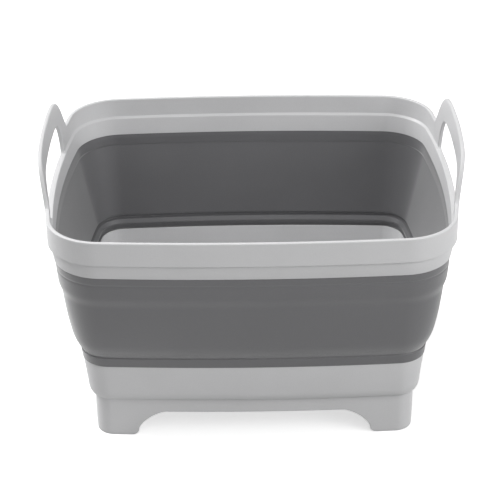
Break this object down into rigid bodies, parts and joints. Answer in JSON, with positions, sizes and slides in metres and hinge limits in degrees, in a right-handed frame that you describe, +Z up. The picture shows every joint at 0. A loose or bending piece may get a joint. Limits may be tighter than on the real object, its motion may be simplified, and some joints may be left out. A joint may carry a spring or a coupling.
{
  "type": "collapsible wash basin",
  "caption": "Oblong wash basin with a rigid rim, loop handles and footed tray joined by a folding soft wall, so it pushes down flat; sunk drain with a push-in plug.",
  "frame": {"origin": "centre of the bounding box on the ground plane, under the feet", "axes": "+X along the length from handle to handle, +Y to the back, +Z up"},
  "size_m": [0.3646, 0.303, 0.2413],
  "materials": {
    "rim": "pale grey moulded polypropylene, satin",
    "soft_wall": "dark grey thermoplastic rubber, matte",
    "tray": "pale grey moulded polypropylene, satin",
    "plug": "pale grey moulded polypropylene, satin",
    "seal": "dark grey thermoplastic rubber, matte"
  },
  "bodies": {
    "base": {"base_tray": "tray", "wall_bottom_cuff": "soft_wall"},
    "rim": {"rim_frame": "rim", "wall_top_band": "soft_wall"},
    "fold_panel": {"wall_fold_panel": "soft_wall"},
    "plug": {"drain_plug": "plug", "plug_seal": "seal"}
  },
  "joints": [
    {"name": "collapse", "type": "slide", "parent": "base", "child": "rim", "axis": [0, 0, -1], "range_m": [0, 0.116]},
    {"name": "wall_fold", "type": "slide", "parent": "base", "child": "fold_panel", "axis": [0, 0, -1], "range_m": [0, 0.058]},
    {"name": "plug_lift", "type": "slide", "parent": "base", "child": "plug", "axis": [0, 0, 1], "range_m": [0, 0.04]}
  ],
  "couplings": [
    {"joint": "wall_fold", "follows": "collapse", "ratio": 0.5}
  ]
}
